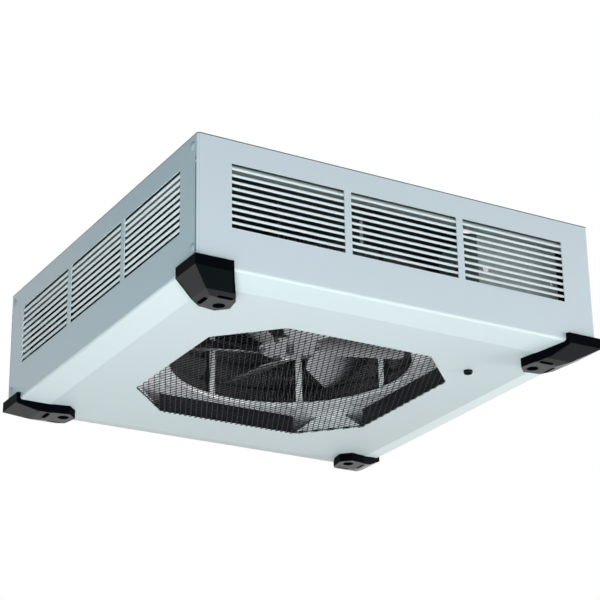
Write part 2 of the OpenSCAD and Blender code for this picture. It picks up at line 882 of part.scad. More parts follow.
// Galvanised box on the fan plate, open at the top, with its slope facing the fan
module control_box() {
    color([0.68, 0.72, 0.70]) difference() {
        translate([0, 0, z_deck]) linear_extrude(z_lid - z_deck) polygon(box_outline);
        translate([0, 0, z_deck + thin]) linear_extrude(100) polygon(inner_outline(thin));
        for (z = z_ring, s = [0, 1])
            translate([0, 0, z]) rotate([0, 0, terminal_angle]) mirror([0, s, 0])
                rotate([0, 0, gap_angle]) translate([ring_r + bend_r, -bend_r, 0]) rotate([0, 90, 0])
                    cylinder(r = tube_d / 2 + 0.3, h = lead_out + 6);
        translate([spindle_x, spindle_y, z_deck - eps]) cylinder(r = 5.1, h = thin + 2 * eps);
        box_screw_places() cylinder(r = 1.8, h = 12, center = true);
    }
}

// Screws in the box's front wall
module box_screw_places() {
    for (x = [101, 184]) translate([x, box_front, -67]) rotate([90, 0, 0]) children();
}

// Folded lid with a hole for the supply cable
module control_lid() {
    color([0.70, 0.74, 0.72]) difference() {
        translate([0, 0, z_lid]) linear_extrude(thin) polygon(box_outline);
        translate([knockout_x, knockout_y, z_lid - eps]) cylinder(d = knockout_d + 2, h = 3);
    }
}

module control_screws() {
    color(zinc) box_screw_places() {
        translate([0, 0, 0]) cylinder(r = 3.6, h = 2.2);
        translate([0, 0, -6]) cylinder(r = 1.7, h = 6);
    }
}

// Rubber bush in the lid that the supply cable passes through
module cable_bush() {
    outer = knockout_d / 2 + 1;
    color(black_plastic) translate([knockout_x, knockout_y, z_lid - 2]) difference() {
        union() {
            cylinder(r = outer, h = 3);
            translate([0, 0, 0]) cylinder(r = outer + 2, h = 2);
        }
        translate([0, 0, -eps]) cylinder(r = outer - 3, h = 8);
    }
}

// Terminal block: a moulded strip with five wire chambers
module terminal_block() {
    ways = 5;
    pitch = 11;
    color([0.92, 0.91, 0.87]) translate([97, -208, z_deck + thin]) difference() {
        cube([ways * pitch + 3, 20, 18]);
        for (i = [0 : ways - 1]) translate([1.5 + (i + 0.5) * pitch, 0, 0]) {
            translate([-4, -eps, 4]) cube([8, 7, 8]);
            translate([-4, 14, 4]) cube([8, 7, 8]);
            translate([0, 5, 10]) cylinder(r = 2.5, h = 10);
            translate([0, 15, 10]) cylinder(r = 2.5, h = 10);
        }
    }
}

// Control transformer: a laminated core round one coil
module transformer() {
    color([0.35, 0.33, 0.32]) translate([98, -182, z_deck + thin]) {
        cube([44, 16, 8]);
        translate([0, 0, 28]) cube([44, 16, 8]);
        for (x = [0, 18, 36]) translate([x, 0, 8]) cube([8, 16, 20]);
        for (x = [8, 26]) translate([x, -4, 9]) cube([10, 24, 18]);
    }
}

// Contactor that switches the elements
module contactor() {
    color([0.15, 0.16, 0.18]) translate([148, -182, z_deck + thin]) difference() {
        union() {
            cube([40, 42, 30]);
            translate([4, 4, 30]) cube([32, 34, 12]);
        }
        for (i = [0 : 3]) translate([5 + i * 9, -eps, 20]) cube([5, 6, 20]);
        for (i = [0 : 3]) translate([5 + i * 9, 37, 20]) cube([5, 6, 20]);
    }
}

// Thermostat on the box's floor, with a threaded bush through the fan plate
module thermostat_body() {
    color([0.12, 0.12, 0.13]) translate([spindle_x, spindle_y, z_deck + thin]) difference() {
        union() {
            translate([-10, -10, 0]) cube([20, 20, 22]);
            translate([0, 0, -8]) cylinder(r = 5, h = 8);
        }
        translate([0, 0, -9]) cylinder(r = 3 + running_gap, h = 22);
    }
}

module thermostat_nut() {
    color(zinc) translate([spindle_x, spindle_y, z_plate - 3]) difference() {
        cylinder(r = 8, h = 3, $fn = 6);
        translate([0, 0, -eps]) cylinder(r = 5, h = 5);
    }
}

// Spindle with a screwdriver slot, set back behind the hole in the bottom panel
module thermostat_spindle() {
    z_end = z_flat + 4.5;
    color([0.8, 0.78, 0.7]) translate([spindle_x, spindle_y, 0]) difference() {
        translate([0, 0, z_end]) cylinder(r = 3, h = z_deck + 9 - z_end);
        translate([-4, -0.6, z_end - eps]) cube([8, 1.2, 2 + eps]);
    }
}

// Over-temperature switch on the box's left wall
module limit_switch() {
    color([0.2, 0.13, 0.1]) translate([box_left, -182, -66]) rotate([0, -90, 0]) {
        cylinder(r = 8, h = 6);
        translate([-12, -3, 0]) cube([24, 6, 1]);
        for (y = [-5, 2]) translate([-3, y, 6]) cube([6, 1, 7]);
    }
}

mounting_plate();
casing_front();
casing_right();
casing_back();
casing_left();
casing_rivets();
bottom_panel();
grille_mesh();
inlet_collar();
corner_tabs();
guard_front_left();
guard_front_right();
guard_back_right();
guard_back_left();
guard_screws();
panel_standoffs();
fan_plate();
fan_blades();
fan_hub();
fan_rivets();
motor_shaft();
motor_rotor();
motor_shell();
motor_stator();
motor_cap_lower();
motor_cap_upper();
motor_bearings();
motor_nuts();
motor_bracket();
element_posts();
element_lower();
element_middle();
element_upper();
fins_lower();
fins_middle();
fins_upper();
element_terminals();
control_box();
control_lid();
control_screws();
terminal_block();
transformer();
contactor();
cable_bush();
thermostat_body();
thermostat_nut();
thermostat_spindle();
limit_switch();
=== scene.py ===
"""Looks of the ceiling mounted fan heater, in metres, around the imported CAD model."""

import math

import bmesh
import bpy
import numpy as np
from mathutils import Matrix, Vector


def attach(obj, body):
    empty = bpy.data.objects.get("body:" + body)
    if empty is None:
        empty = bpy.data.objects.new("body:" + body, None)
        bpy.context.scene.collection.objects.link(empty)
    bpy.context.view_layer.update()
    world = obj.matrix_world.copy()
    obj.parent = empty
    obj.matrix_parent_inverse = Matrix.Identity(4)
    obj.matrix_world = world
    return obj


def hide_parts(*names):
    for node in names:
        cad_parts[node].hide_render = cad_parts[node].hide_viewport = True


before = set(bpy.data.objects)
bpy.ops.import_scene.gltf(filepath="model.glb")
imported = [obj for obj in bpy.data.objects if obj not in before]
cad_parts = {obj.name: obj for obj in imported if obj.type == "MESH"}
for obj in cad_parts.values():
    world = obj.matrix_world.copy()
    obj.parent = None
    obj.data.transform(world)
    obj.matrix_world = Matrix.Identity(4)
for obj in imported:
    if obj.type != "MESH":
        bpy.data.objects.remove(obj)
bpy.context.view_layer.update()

# ---- sizes, from the part's own named values ----
MM = 0.001
HALF = 0.225
Z_FLAT = -0.1381
OPENING_HALF = 0.139
OPENING_CUT = 0.0563
RING_R = 0.150
RING_Z = (-0.102, -0.076, -0.050)
POST_ANGLES = (11, 56, 101, 146, 191, 236, 275)
POST_FACE_R = 0.1322
ADJUSTER = (0.1395, -0.122)
FLAT_HALF = 0.1966
LIP_DEPTH = 0.0252
SEAM_END = 0.2219
TERMINAL_ANGLE = -45.0
TERMINAL_GAP = 12.0

# ---- camera, fitted to the photograph ----
CAMERA_PLACE = (-0.930108, -1.609417, -0.809882)
CAMERA_RIGHT = (0.865839, -0.500098, -0.014993)
CAMERA_DOWN = (0.178907, 0.337456, -0.924184)
CAMERA_AHEAD = (0.467242, 0.797512, 0.381653)
CAMERA_LENS = 113.74


def make_camera():
    """Camera at the photograph's angle: its axes are the fitted right, up and back."""
    data = bpy.data.cameras.new("camera")
    data.lens = CAMERA_LENS
    data.sensor_width = 36.0
    data.sensor_fit = "HORIZONTAL"
    data.clip_end = 50.0
    camera = bpy.data.objects.new("camera", data)
    axes = [Vector(CAMERA_RIGHT), -Vector(CAMERA_DOWN), -Vector(CAMERA_AHEAD)]
    turn = Matrix([[axis[row] for axis in axes] for row in range(3)])
    camera.matrix_world = Matrix.Translation(CAMERA_PLACE) @ turn.to_4x4()
    bpy.context.scene.collection.objects.link(camera)
    bpy.context.scene.camera = camera


make_camera()


# ---- shader maths ----
class Flow:
    """A shader socket that takes part in Python arithmetic by adding Math nodes."""

    def __init__(self, finish, socket):
        self.finish = finish
        self.socket = socket

    def _math(self, operation, first, second):
        return self.finish.node(
            "ShaderNodeMath", {"operation": operation}, {0: first, 1: second}
        )

    def __add__(self, other):
        return self._math("ADD", self, other)

    def __sub__(self, other):
        return self._math("SUBTRACT", self, other)

    def __mul__(self, other):
        return self._math("MULTIPLY", self, other)

    def step(self, low, high):
        """0 at low, 1 at high, smooth between them, and even beyond; low may be the larger."""
        return self.finish.node(
            "ShaderNodeMapRange",
            {"interpolation_type": "SMOOTHSTEP"},
            {"Value": self, "From Min": low, "From Max": high},
        )


class Finish:
    """One material: a Principled shader with what varies over the surface fed to it."""

    def __init__(self, name, colour, roughness, metallic=0.0, **constants):
        self.material = bpy.data.materials.new(name)
        self.material.use_nodes = True
        self.tree = self.material.node_tree
        self.shader = self.tree.nodes["Principled BSDF"]
        self.shader.inputs["Base Color"].default_value = (*colour, 1.0)
        self.shader.inputs["Roughness"].default_value = roughness
        self.shader.inputs["Metallic"].default_value = metallic
        for socket, value in constants.items():
            self.shader.inputs[socket.replace("_", " ")].default_value = value
        self.material.diffuse_color = (*colour, 1.0)

    def node(self, kind, settings=None, inputs=None, output=0):
        """Adds a node, sets it up, then feeds its sockets with numbers, colours or flows."""
        node = self.tree.nodes.new(kind)
        for key, value in (settings or {}).items():
            setattr(node, key, value)
        for key, value in (inputs or {}).items():
            if isinstance(value, Flow):
                self.tree.links.new(value.socket, node.inputs[key])
            else:
                node.inputs[key].default_value = value
        return Flow(self, node.outputs[output])

    def place(self):
        """Object coordinates."""
        return self.node("ShaderNodeTexCoord", output="Object")

    def noise(self, scale, detail=2.0):
        """Noise around 0.5 on object coordinates."""
        return self.node(
            "ShaderNodeTexNoise", None, {"Vector": self.place(), "Scale": scale, "Detail": detail}
        )

    def offsets(self):
        """How far a point is from the heater's origin along X, Y and Z."""
        split = self.node("ShaderNodeSeparateXYZ", None, {"Vector": self.place()})
        return [Flow(self, socket) for socket in split.socket.node.outputs]

    def distances(self):
        """How far a point is from the heater's origin along X, Y and Z, without sign."""
        return [
            self.node("ShaderNodeMath", {"operation": "ABSOLUTE"}, {0: offset})
            for offset in self.offsets()
        ]

    def larger(self, first, second):
        """The larger of two flows."""
        return self.node("ShaderNodeMath", {"operation": "MAXIMUM"}, {0: first, 1: second})

    def blend(self, share, first, second):
        """Mix of two colours by a share between 0 and 1."""
        node = self.tree.nodes.new("ShaderNodeMix")
        node.data_type = "RGBA"
        sockets = [s for s in node.inputs if s.enabled]
        for socket, value in zip(sockets, (share, first, second)):
            if isinstance(value, Flow):
                self.tree.links.new(value.socket, socket)
            elif isinstance(value, tuple):
                socket.default_value = (*value, 1.0)
            else:
                socket.default_value = value
        return Flow(self, next(s for s in node.outputs if s.enabled))

    def feed(self, socket, flow):
        """Links a flow to one of the shader's own sockets."""
        self.tree.links.new(flow.socket, self.shader.inputs[socket])
        return self

    def bump(self, height, distance, strength=1.0):
        """Turns a height into the shader's normal."""
        self.feed(
            "Normal",
            self.node(
                "ShaderNodeBump",
                None,
                {"Height": height, "Distance": distance, "Strength": strength},
            ),
        )
        return self


def shade(colour, share):
    """A darker colour."""
    return tuple(share * channel for channel in colour)


def stoved(name, colour, roughness):
    """Stoved paint with a faint orange peel, and its slightly changing tone."""
    finish = Finish(name, colour, roughness, Specular_IOR_Level=0.4)
    finish.bump(finish.noise(900.0, 1.0), 0.06 * MM, 0.25)
    return finish, finish.blend(finish.noise(9.0, 3.0), shade(colour, 0.96), colour)


def painted(name, colour, roughness, lit_strip_colour=None, seam_end=None):
    """Stoved paint of the casing.

    Where a lit strip colour is given, what lies deeper than the casing's outer faces has it:
    a paler colour that is painted light on the louvre strips. The cut top edge is dark.
    Where a seam's place is given, the sheet's ends are dark below their rivets.
    """
    finish, tone = stoved(name, colour, roughness)
    if lit_strip_colour:
        x_out, y_out, height = finish.distances()
        outer = finish.larger(x_out, y_out).step(HALF - 0.8 * MM, HALF - 0.3 * MM)
        # Painted light: what lies deeper than the outer faces, the louvre strips among it, is paler
        tone = finish.blend(outer, lit_strip_colour, tone)
        tone = finish.blend(height.step(1.4 * MM, 0.6 * MM), tone, SEAM_COLOUR)
        if seam_end:
            end = y_out.step(seam_end - 1.7 * MM, seam_end - 1.2 * MM)
            below = height.step(20 * MM, 26 * MM)
            tone = finish.blend(end * below, tone, SEAM_COLOUR)
    finish.feed("Base Color", tone)
    return finish.material


def panel_paint(name, colour, lit_band_colour):
    """The panel's paint, with painted light that makes the bands sloping to the left and right a
    little paler.
    """
    finish, tone = stoved(name, colour, 0.42)
    x_out, y_out, _ = finish.distances()
    # Painted light: the bands that slope to the left and right are paler
    lit_band = x_out.step(FLAT_HALF, FLAT_HALF + 2 * MM) * (x_out - y_out).step(0.0, 1 * MM)
    finish.feed("Base Color", finish.blend(lit_band, tone, lit_band_colour))
    return finish.material


def zinc(name, colour, roughness, metallic):
    """Galvanised steel: spangles that differ in tone and roughness."""
    finish = Finish(name, colour, roughness, metallic)
    cell = finish.node(
        "ShaderNodeTexVoronoi",
        {"feature": "F1"},
        {"Vector": finish.place(), "Scale": 160.0},
        output="Color",
    )
    tone = finish.node("ShaderNodeRGBToBW", None, {"Color": cell})
    finish.feed("Base Color", finish.blend(tone, shade(colour, 0.78), colour))
    finish.feed("Roughness", tone * 0.16 + (roughness - 0.08))
    return finish.material


def tray_zinc_shaded(name, colour, lip_shade_colour, top_colour):
    """Mounting plate: painted deep shade inside, a lighter painted shade on its skirt's inturned
    lip, and bright zinc on its outer top.
    """
    finish = Finish(name, colour, 0.6, 0.1)
    height = finish.distances()[2]
    cloud = finish.noise(60.0, 3.0)
    top = finish.blend(cloud.step(0.35, 0.65), shade(top_colour, 0.85), top_colour)
    # Painted shade: near black inside, lighter on the skirt's inturned lip
    tone = finish.blend(height.step(LIP_DEPTH, LIP_DEPTH + 0.5 * MM), colour, lip_shade_colour)
    finish.feed("Base Color", finish.blend(height.step(0.9 * MM, 0.4 * MM), tone, top))
    finish.feed("Roughness", cloud * 0.2 + 0.45)
    return finish.material


def post_zinc_shaded(name, colour, web_shade_colour):
    """Posts round the fan: bright on the inner face, with painted shade on the web behind it.

    The photograph shows no bright post at the near left corner, so that one has the painted shade
    all over.
    """
    finish = Finish(name, colour, 0.35, 0.1)
    x_at, y_at, _ = finish.offsets()
    from_axis = x_at * x_at + y_at * y_at
    inner = from_axis.step(POST_FACE_R**2, (POST_FACE_R - 0.6 * MM) ** 2)
    # Painted shade on the web, and on the whole near left post
    outside_shaded_post = finish.larger(x_at, y_at).step(-50 * MM, -40 * MM)
    finish.feed("Base Color", finish.blend(inner * outside_shaded_post, web_shade_colour, colour))
    return finish.material


def metal(name, colour, roughness):
    """Bare metal with a fine uneven grain."""
    finish = Finish(name, colour, roughness, metallic=1.0)
    finish.feed("Roughness", finish.noise(220.0, 2.0) * 0.16 + (roughness - 0.08))
    return finish.material


def moulded(name, colour, roughness, grain=0.00008, specular=0.5):
    """Moulded plastic with a fine grain."""
    finish = Finish(name, colour, roughness, Specular_IOR_Level=specular)
    finish.bump(finish.noise(1400.0, 2.0), grain, 0.35)
    finish.feed("Roughness", finish.noise(60.0, 2.0) * 0.1 + (roughness - 0.05))
    return finish.material


SEAM_COLOUR = (0.03, 0.04, 0.05)
# Front and back paint; its paler strip colour is painted light on the louvre strips
FOLDED_PAINT_LIT_STRIPS = painted("folded_paint_lit_strips", (0.60, 0.68, 0.73), 0.42, (0.78, 0.86, 0.88))
# Left and right paint: a darker, bluer copy of the front's, which is painted shade; its paler
# strips are painted light
FLAT_PAINT_SHADE_LIT_STRIPS = painted("flat_paint_shade_lit_strips", (0.47, 0.60, 0.66), 0.42, (0.94, 0.98, 0.99), SEAM_END)
PANEL_PAINT_LIT_BANDS = panel_paint("panel_paint", (0.66, 0.75, 0.77), (0.77, 0.86, 0.87))
# The rivets' paint is a darker copy of the sides' paint: painted shade on their domes
RIVET_PAINT_SHADED = painted("rivet_paint_shaded", (0.44, 0.53, 0.58), 0.6)
GALVANISED = zinc("galvanised", (0.94, 0.96, 0.97), 0.3, 0.15)
TRAY_ZINC_SHADED = tray_zinc_shaded("tray_zinc_shaded", (0.02, 0.026, 0.03), (0.30, 0.34, 0.34), (0.60, 0.62, 0.62))
BOX_ZINC = zinc("box_zinc", (0.26, 0.30, 0.29), 0.55, 0.2)
COLLAR_BLACK = moulded("collar_black", (0.005, 0.006, 0.008), 0.5, specular=0.2)
POST_ZINC_SHADED = post_zinc_shaded("post_zinc_shaded", (0.94, 0.96, 0.97), (0.03, 0.034, 0.036))
TAB_ZINC = zinc("tab_zinc", (0.95, 0.97, 0.98), 0.3, 0.1)
# The walls' finish is a darker, duller copy of the face's: painted shade
GUARD_SHADED_WALL = moulded("guard_shaded_wall", (0.0014, 0.002, 0.0035), 0.6, specular=0.01)
GUARD_FACE = moulded("guard_face", (0.002, 0.004, 0.005), 0.24, 0.00004, specular=0.21)
GRILLE_BLACK = moulded("grille_black", (0.004, 0.005, 0.007), 0.35, 0.00003, specular=0.1)
FAN_METAL = metal("fan_metal", (0.62, 0.63, 0.65), 0.32)
BRIGHT_STEEL = metal("bright_steel", (0.70, 0.70, 0.71), 0.25)
HUB_METAL = metal("hub_metal", (0.22, 0.22, 0.23), 0.5)
MOTOR_BLACK = moulded("motor_black", (0.02, 0.02, 0.022), 0.35)
LAMINATED_IRON = metal("laminated_iron", (0.16, 0.15, 0.14), 0.5)
ELEMENT_STEEL = moulded("element_steel", (0.02, 0.02, 0.022), 0.5, specular=0.3)
FIN_STEEL = moulded("fin_steel", (0.16, 0.16, 0.16), 0.4, specular=0.5)
CERAMIC = moulded("ceramic", (0.78, 0.75, 0.68), 0.6)
PALE_MOULDING = moulded("pale_moulding", (0.75, 0.73, 0.67), 0.45)
DARK_MOULDING = moulded("dark_moulding", (0.03, 0.03, 0.034), 0.45)
SHADE_SHEET_BLACK = moulded("shade_sheet_black", (0.005, 0.006, 0.008), 0.7, specular=0.1)
BUSH_BLACK = moulded("bush_black", (0.004, 0.004, 0.005), 0.5, specular=0.15)
BUSH_RUBBER = moulded("bush_rubber", (0.015, 0.015, 0.016), 0.7)

# ---- which nodes have which finish ----
FINISH_OF = {
    FOLDED_PAINT_LIT_STRIPS: ("casing_front", "casing_back"),
    FLAT_PAINT_SHADE_LIT_STRIPS: ("casing_right", "casing_left"),
    PANEL_PAINT_LIT_BANDS: ("bottom_panel",),
    RIVET_PAINT_SHADED: ("casing_rivets",),
    GALVANISED: ("fan_plate",),
    POST_ZINC_SHADED: ("element_posts",),
    TRAY_ZINC_SHADED: ("mounting_plate", "motor_bracket"),
    COLLAR_BLACK: ("inlet_collar",),
    TAB_ZINC: ("corner_tabs",),
    BOX_ZINC: ("control_box", "control_lid"),
    BRIGHT_STEEL: (
        "guard_screws", "panel_standoffs", "motor_nuts", "control_screws",
        "thermostat_nut", "motor_bearings",
    ),
    GUARD_SHADED_WALL: (
        "guard_front_left", "guard_front_right", "guard_back_left", "guard_back_right",
    ),
    GRILLE_BLACK: ("grille_mesh",),
    FAN_METAL: ("fan_blades",),
    HUB_METAL: ("fan_hub", "fan_rivets", "motor_shaft"),
    MOTOR_BLACK: ("motor_shell", "motor_cap_lower", "motor_cap_upper"),
    LAMINATED_IRON: ("motor_rotor", "motor_stator", "transformer"),
    ELEMENT_STEEL: ("element_lower", "element_middle", "element_upper"),
    FIN_STEEL: ("fins_lower", "fins_middle", "fins_upper"),
    CERAMIC: ("element_terminals",),
    PALE_MOULDING: ("terminal_block", "thermostat_spindle"),
    DARK_MOULDING: ("contactor", "thermostat_body", "limit_switch"),
    BUSH_RUBBER: ("cable_bush",),
}
for finish, nodes in FINISH_OF.items():
    for name in nodes:
        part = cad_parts[name]
        part.data.materials.clear()
        part.data.materials.append(finish)


# ---- making pieces ----
def make_piece(name, points, faces, finish, body="heater", smooth=False):
    """A mesh object at the origin from point and face arrays, riding on a body."""
    mesh = bpy.data.meshes.new(name)
    mesh.from_pydata([tuple(p) for p in points.tolist()], [], faces.tolist())
    mesh.materials.append(finish)
    mesh.polygons.foreach_set("use_smooth", np.full(len(mesh.polygons), smooth))
    mesh.update()
    piece = bpy.data.objects.new(name, mesh)
    bpy.context.scene.collection.objects.link(piece)
    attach(piece, body)
    return piece


# ---- corner guards ----
BORDER = 1.7 * MM
EDGE_ROUND = 0.35 * MM
SLOPE_AREA = 200 * MM**2


def dress_guard(node):
    """A guard's own shape with softened edges, and a dark border beside its slopes.

    Triangles in one plane are joined, each slope is drawn in by the border's width, the
    border has painted shade where it runs beside a slanted wall, and the bevel rounds the
    sharp edges. Faces that look down have the face's finish, which is the second, and the
    rest the wall's, a darker and duller copy of it that is painted shade.
    """
    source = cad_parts[node].data
    shape = bmesh.new()
    shape.from_mesh(source)
    bmesh.ops.remove_doubles(shape, verts=shape.verts, dist=0.00001)
    bmesh.ops.dissolve_limit(
        shape, angle_limit=math.radians(1), verts=shape.verts, edges=shape.edges
    )
    for face in shape.faces:
        # Faces that don't look down get the wall's finish, painted shade
        face.material_index = 1 if face.normal.z < -0.3 else 0
    slopes = [
        face for face in shape.faces
        if -0.95 < face.normal.z < -0.8 and face.calc_area() > SLOPE_AREA
    ]
    bmesh.ops.inset_individual(shape, faces=slopes, thickness=BORDER, use_even_offset=True)
    middles = set(slopes)
    for slope in slopes:
        for rim in {f for edge in slope.edges for f in edge.link_faces} - middles:
            beyond = [f for edge in rim.edges for f in edge.link_faces if abs(f.normal.z) < 0.3]
            slanted = [f for f in beyond if max(abs(f.normal.x), abs(f.normal.y)) < 0.98]
            # The border beside a slanted wall gets the painted shade
            rim.material_index = 0 if slanted else 1
    bmesh.ops.recalc_face_normals(shape, faces=shape.faces)
    mesh = bpy.data.meshes.new(node + "_moulding")
    shape.to_mesh(mesh)
    shape.free()
    mesh.materials.append(GUARD_SHADED_WALL)
    mesh.materials.append(GUARD_FACE)
    guard = bpy.data.objects.new(node + "_moulding", mesh)
    bpy.context.scene.collection.objects.link(guard)
    soften = guard.modifiers.new("soften", "BEVEL")
    soften.width = EDGE_ROUND
    soften.segments = 2
    soften.limit_method = "ANGLE"
    soften.angle_limit = math.radians(20)
    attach(guard, "heater")
    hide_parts(node)


for guard_node in FINISH_OF[GUARD_SHADED_WALL]:
    dress_guard(guard_node)


# ---- grille ----
SHORT_PITCH = 6.3 * MM
HALF_LONG_PITCH = 6.5 * MM
STRAND_W = 0.78 * MM
STRAND_T = 0.5 * MM
STRAND_LEAN = math.radians(50)
GRILLE_Z = -0.1382
STRANDS = 70
SHORTEST = 0.3
SWELL = 0.32


def octagon_span(x0, y0, dx, dy, half, cut):
    """Where the line (x0, y0) + t (dx, dy) enters and leaves the octagon, as arrays."""
    low = np.full_like(x0, -1e3)
    high = np.full_like(x0, 1e3)
    corner = 2 * half - cut
    for nx, ny, reach in (
        (1, 0, half), (-1, 0, half), (0, 1, half), (0, -1, half),
        (1, 1, corner), (1, -1, corner), (-1, 1, corner), (-1, -1, corner),
    ):
        speed = nx * dx + ny * dy
        gap = reach - (nx * x0 + ny * y0)
        if abs(speed) < 1e-12:
            high = np.where(gap < 0, -1e3, high)
        elif speed > 0:
            high = np.minimum(high, gap / speed)
        else:
            low = np.maximum(low, gap / speed)
    return low, high


def strand_family(side):
    """Straight strands of expanded metal: a cell runs half a short and half a long pitch.

    The side is 1 or -1, for strands that run to the right or the left. Each strand is a
    flat bar with a rectangular section, leaning towards +X, cut off at the octagon. Rows of
    four section corners are carried along the line; the section swells by a cosine of
    the cell's phase, because two strands join at each bond.
    """
    dx, dy = side * SHORT_PITCH / 2, HALF_LONG_PITCH
    length = math.hypot(dx, dy)
    along = np.array([dx, dy, 0.0]) / length
    normal = np.array([math.sin(STRAND_LEAN), 0.0, -math.cos(STRAND_LEAN)])
    across = np.cross(along, normal)
    across /= np.linalg.norm(across)
    normal = np.cross(across, along)
    x0 = np.arange(-STRANDS, STRANDS + 1) * SHORT_PITCH
    low, high = octagon_span(
        x0, np.zeros_like(x0), dx, dy, OPENING_HALF - 0.6 * MM, OPENING_CUT
    )
    points, faces = [], []
    for start, first, last in zip(x0, low, high):
        if last - first < SHORTEST:
            continue
        inner = np.arange(math.ceil(first * 2 + 0.15), math.floor(last * 2 - 0.15) + 1) / 2
        t = np.concatenate([[first], inner, [last]])
        swell = 1.0 + SWELL * np.cos(2 * math.pi * t)
        w = STRAND_W / 2 * swell
        h = np.full_like(t, STRAND_T / 2)
        centre = np.stack([start + t * dx, t * dy, np.full_like(t, GRILLE_Z)], axis=1)
        ring = np.stack(
            [
                centre + s[:, None] * across + q[:, None] * normal
                for s, q in ((w, h), (-w, h), (-w, -h), (w, -h))
            ],
            axis=1,
        ).reshape(-1, 3)
        base = sum(len(p) for p in points)
        rows = np.arange(len(t) - 1)[:, None] * 4 + base
        k = np.arange(4)[None, :]
        nxt = (k + 1) % 4
        quads = np.stack(
            [rows + k, rows + nxt, rows + 4 + nxt, rows + 4 + k], axis=-1
        ).reshape(-1, 4)
        end = base + 4 * (len(t) - 1)
        caps = np.array([[base + 3, base + 2, base + 1, base], [end, end + 1, end + 2, end + 3]])
        points.append(ring)
        faces.append(np.concatenate([quads, caps]))
    return np.concatenate(points), np.concatenate(faces)


def make_grille():
    """Both families of strands, and the flat rim on the panel's inner face.

    The strands cast no shadow, because they are too thin to dim what lies behind them.
    """
    right_points, right_faces = strand_family(1)
    left_points, left_faces = strand_family(-1)
    rim_points, rim_faces = octagon_ring(
        OPENING_HALF - 0.8 * MM, OPENING_HALF + 10 * MM, Z_FLAT + 1.2 * MM, Z_FLAT + 2.2 * MM
    )
    points = np.concatenate([right_points, left_points, rim_points])
    faces = np.concatenate(
        [
            right_faces,
            left_faces + len(right_points),
            rim_faces + len(right_points) + len(left_points),
        ]
    )
    grille = make_piece("grille_strands", points, faces, GRILLE_BLACK)
    grille.visible_shadow = False
    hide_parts("grille_mesh")


def octagon_ring(inner, outer, z0, z1):
    """Flat octagonal ring of rectangular section between two half widths and two heights."""

    def corners(half):
        k = OPENING_HALF - OPENING_CUT + (half - OPENING_HALF) * (math.sqrt(2) - 1)
        return np.array(
            [
                (-half, -k), (-k, -half), (k, -half), (half, -k),
                (half, k), (k, half), (-k, half), (-half, k),
            ]
        )

    loops = [(corners(inner), z0), (corners(outer), z0), (corners(outer), z1), (corners(inner), z1)]
    points = np.concatenate([np.column_stack([c, np.full(8, z)]) for c, z in loops])
    i = np.arange(8)
    j = (i + 1) % 8
    faces = np.concatenate(
        [
            np.stack([8 * a + i, 8 * a + j, 8 * b + j, 8 * b + i], axis=1)
            for a, b in ((1, 0), (2, 1), (3, 2), (0, 3))
        ]
    )
    return points, faces


# ---- heating rings ----
FIN_LEAN = math.radians(3)
FIN_STEP = 1.4
FIN_SIDES = 14
FIN_R = 12.2 * MM
FIN_BORE_R = 3.9 * MM
FIN_HALF_T = 0.18 * MM


def make_fins(name, z, node):
    """Thin round fins wound on a ring's tube: discs with a bore, leaning off the radial plane."""
    clear = TERMINAL_GAP + 1
    angles = np.arange(TERMINAL_ANGLE + clear, TERMINAL_ANGLE + 360 - clear, FIN_STEP)
    from_post = np.abs((angles[:, None] - np.array(POST_ANGLES)[None, :] + 180) % 360 - 180)
    angles = np.radians(angles[from_post.min(axis=1) > 0.8])
    place = np.stack([np.cos(angles), np.sin(angles), np.zeros_like(angles)], axis=1)
    leaning = angles + FIN_LEAN
    radial = np.stack([np.cos(leaning), np.sin(leaning), np.zeros_like(angles)], axis=1)
    tangent = np.stack([-np.sin(leaning), np.cos(leaning), np.zeros_like(angles)], axis=1)
    centre = place * RING_R + np.array([0, 0, z])
    turn = np.linspace(0, 2 * math.pi, FIN_SIDES, endpoint=False)
    offsets = []
    for r, side in ((FIN_R, -1), (FIN_R, 1), (FIN_BORE_R, 1), (FIN_BORE_R, -1)):
        rim = (
            centre[:, None, :]
            + r * np.cos(turn)[None, :, None] * radial[:, None, :]
            + side * FIN_HALF_T * tangent[:, None, :]
        )
        rim = rim + r * np.sin(turn)[None, :, None] * np.array([0, 0, 1.0])
        offsets.append(rim)
    points = np.stack(offsets, axis=1).reshape(-1, 3)
    i = np.arange(FIN_SIDES)
    j = (i + 1) % FIN_SIDES
    one = np.concatenate(
        [
            np.stack([a + i, b + i, b + j, a + j], axis=1)
            for a, b in FIN_SIDES * np.array([(0, 1), (1, 2), (2, 3), (3, 0)])
        ]
    )
    first = np.arange(len(angles)) * 4 * FIN_SIDES
    faces = (one[None] + first[:, None, None]).reshape(-1, 4)
    fins = make_piece(name, points, faces, FIN_STEEL)
    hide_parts(node)


make_grille()
make_fins("ring_fins_low", RING_Z[0], "fins_lower")
make_fins("ring_fins_mid", RING_Z[1], "fins_middle")
make_fins("ring_fins_top", RING_Z[2], "fins_upper")


# ---- dark sheets behind the louvres of the two far sides, painted shade ----
SHADE_SHEET_DEPTH = 220.5 * MM
SHADE_SHEET_HALF = 203 * MM
SHADE_SHEET_Z = (-115.5 * MM, -27.3 * MM)
SHADE_SHEET_WALL = 0.6 * MM
BEAD_PITCH = 58 * MM
BEAD_DEPTH = 1.6 * MM
BEAD_WIDTH = 4 * MM


